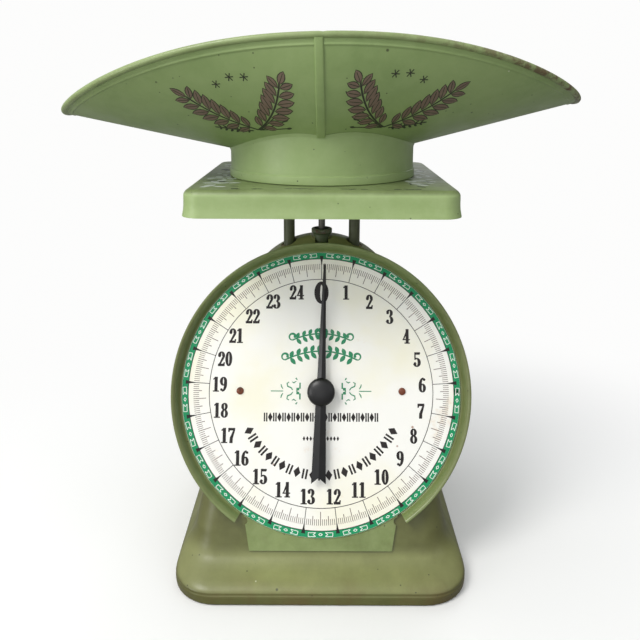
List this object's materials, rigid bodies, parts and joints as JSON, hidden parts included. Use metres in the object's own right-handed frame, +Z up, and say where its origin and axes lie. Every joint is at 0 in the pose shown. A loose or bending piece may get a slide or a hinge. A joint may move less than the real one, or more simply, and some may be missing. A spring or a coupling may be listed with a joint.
{
  "type": "spring dial scale with scoop",
  "caption": "Old painted steel spring scale with a leaning round dial, pointer, square weighing platform and a loose double-ended scoop.",
  "frame": {"origin": "centre of the square base, on the table", "axes": "+Z up, -Y towards the person reading the dial, +X to that person's right along the scoop"},
  "size_m": [0.3486, 0.1954, 0.3572],
  "materials": {
    "case_paint": "worn olive green baked enamel on pressed steel",
    "platform_paint": "worn pale sage green baked enamel on pressed steel",
    "scoop_paint": "worn sage green baked enamel on sheet steel",
    "dial_enamel": "aged cream white litho-printed enamel",
    "black_paint": "worn black enamel",
    "steel": "dull bare steel",
    "rusty_steel": "rusted steel",
    "brass": "dull brass",
    "spring_steel": "oiled spring steel"
  },
  "bodies": {
    "case": {"base_shell": "case_paint", "front_plate": "case_paint", "dial_face": "dial_enamel", "dial_rivet_left": "rusty_steel", "dial_rivet_right": "rusty_steel", "plate_screw_left": "steel", "plate_screw_right": "steel", "movement_bracket": "steel", "bracket_screw_upper": "steel", "bracket_screw_lower": "steel", "front_bush": "brass", "rear_bush": "brass", "guide_bush_left": "brass", "guide_bush_right": "brass", "lower_guide": "steel", "guide_rivet_left": "rusty_steel", "guide_rivet_right": "rusty_steel", "nut_seat": "steel"},
    "platform_frame": {"platform": "platform_paint", "platform_bracket": "steel", "post_left": "steel", "post_right": "steel", "post_screw_left": "steel", "post_screw_right": "steel", "load_yoke": "steel", "yoke_screw_left": "steel", "yoke_screw_right": "steel"},
    "rack": {"rack": "brass"},
    "pointer_shaft": {"pinion": "brass", "pinion_shaft": "steel", "pointer": "black_paint", "hub_cap": "black_paint"},
    "zero_nut": {"zero_nut": "steel"},
    "hanger": {"hanger_bar": "steel", "hanger_rod": "steel", "spring_left": "spring_steel", "spring_right": "spring_steel"},
    "scoop": {"scoop_left": "scoop_paint", "scoop_right": "scoop_paint", "scoop_seam_strip": "scoop_paint", "scoop_rim": "scoop_paint", "foot_ring": "scoop_paint"}
  },
  "joints": [
    {"name": "platform_slide", "type": "slide", "parent": "case", "child": "platform_frame", "axis": [0, 0, -1], "range_m": [0, 0.01594], "stiffness_N_per_m": 6976, "springref_m": -0.0023, "deforming": ["spring_left", "spring_right"]},
    {"name": "rack_slide", "type": "slide", "parent": "case", "child": "rack", "axis": [0, -0.342, -0.9397], "range_m": [0, 0.017]},
    {"name": "pointer_turn", "type": "hinge", "parent": "case", "child": "pointer_shaft", "pos_m": [0, -0.042, 0.12225], "axis": [0, 0.9397, -0.342], "range_deg": [0, 360]},
    {"name": "zero_nut_turn", "type": "hinge", "parent": "case", "child": "zero_nut", "pos_m": [0, 0.005, 0.22], "axis": [0, 0, 1], "range_deg": [-360, 360]},
    {"name": "hanger_slide", "type": "slide", "parent": "case", "child": "hanger", "axis": [0, 0, 1], "range_m": [-0.0008, 0.0008]},
    {"name": "scoop_lift", "type": "slide", "parent": "platform_frame", "child": "scoop", "axis": [0, 0, 1], "range_m": [0, 0.15]}
  ],
  "couplings": [
    {"joint": "rack_slide", "follows": "platform_slide", "ratio": 1.0642},
    {"joint": "pointer_turn", "follows": "platform_slide", "rad_per_m": 394.14},
    {"joint": "zero_nut_turn", "follows": "hanger_slide", "rad_per_m": -7850}
  ]
}
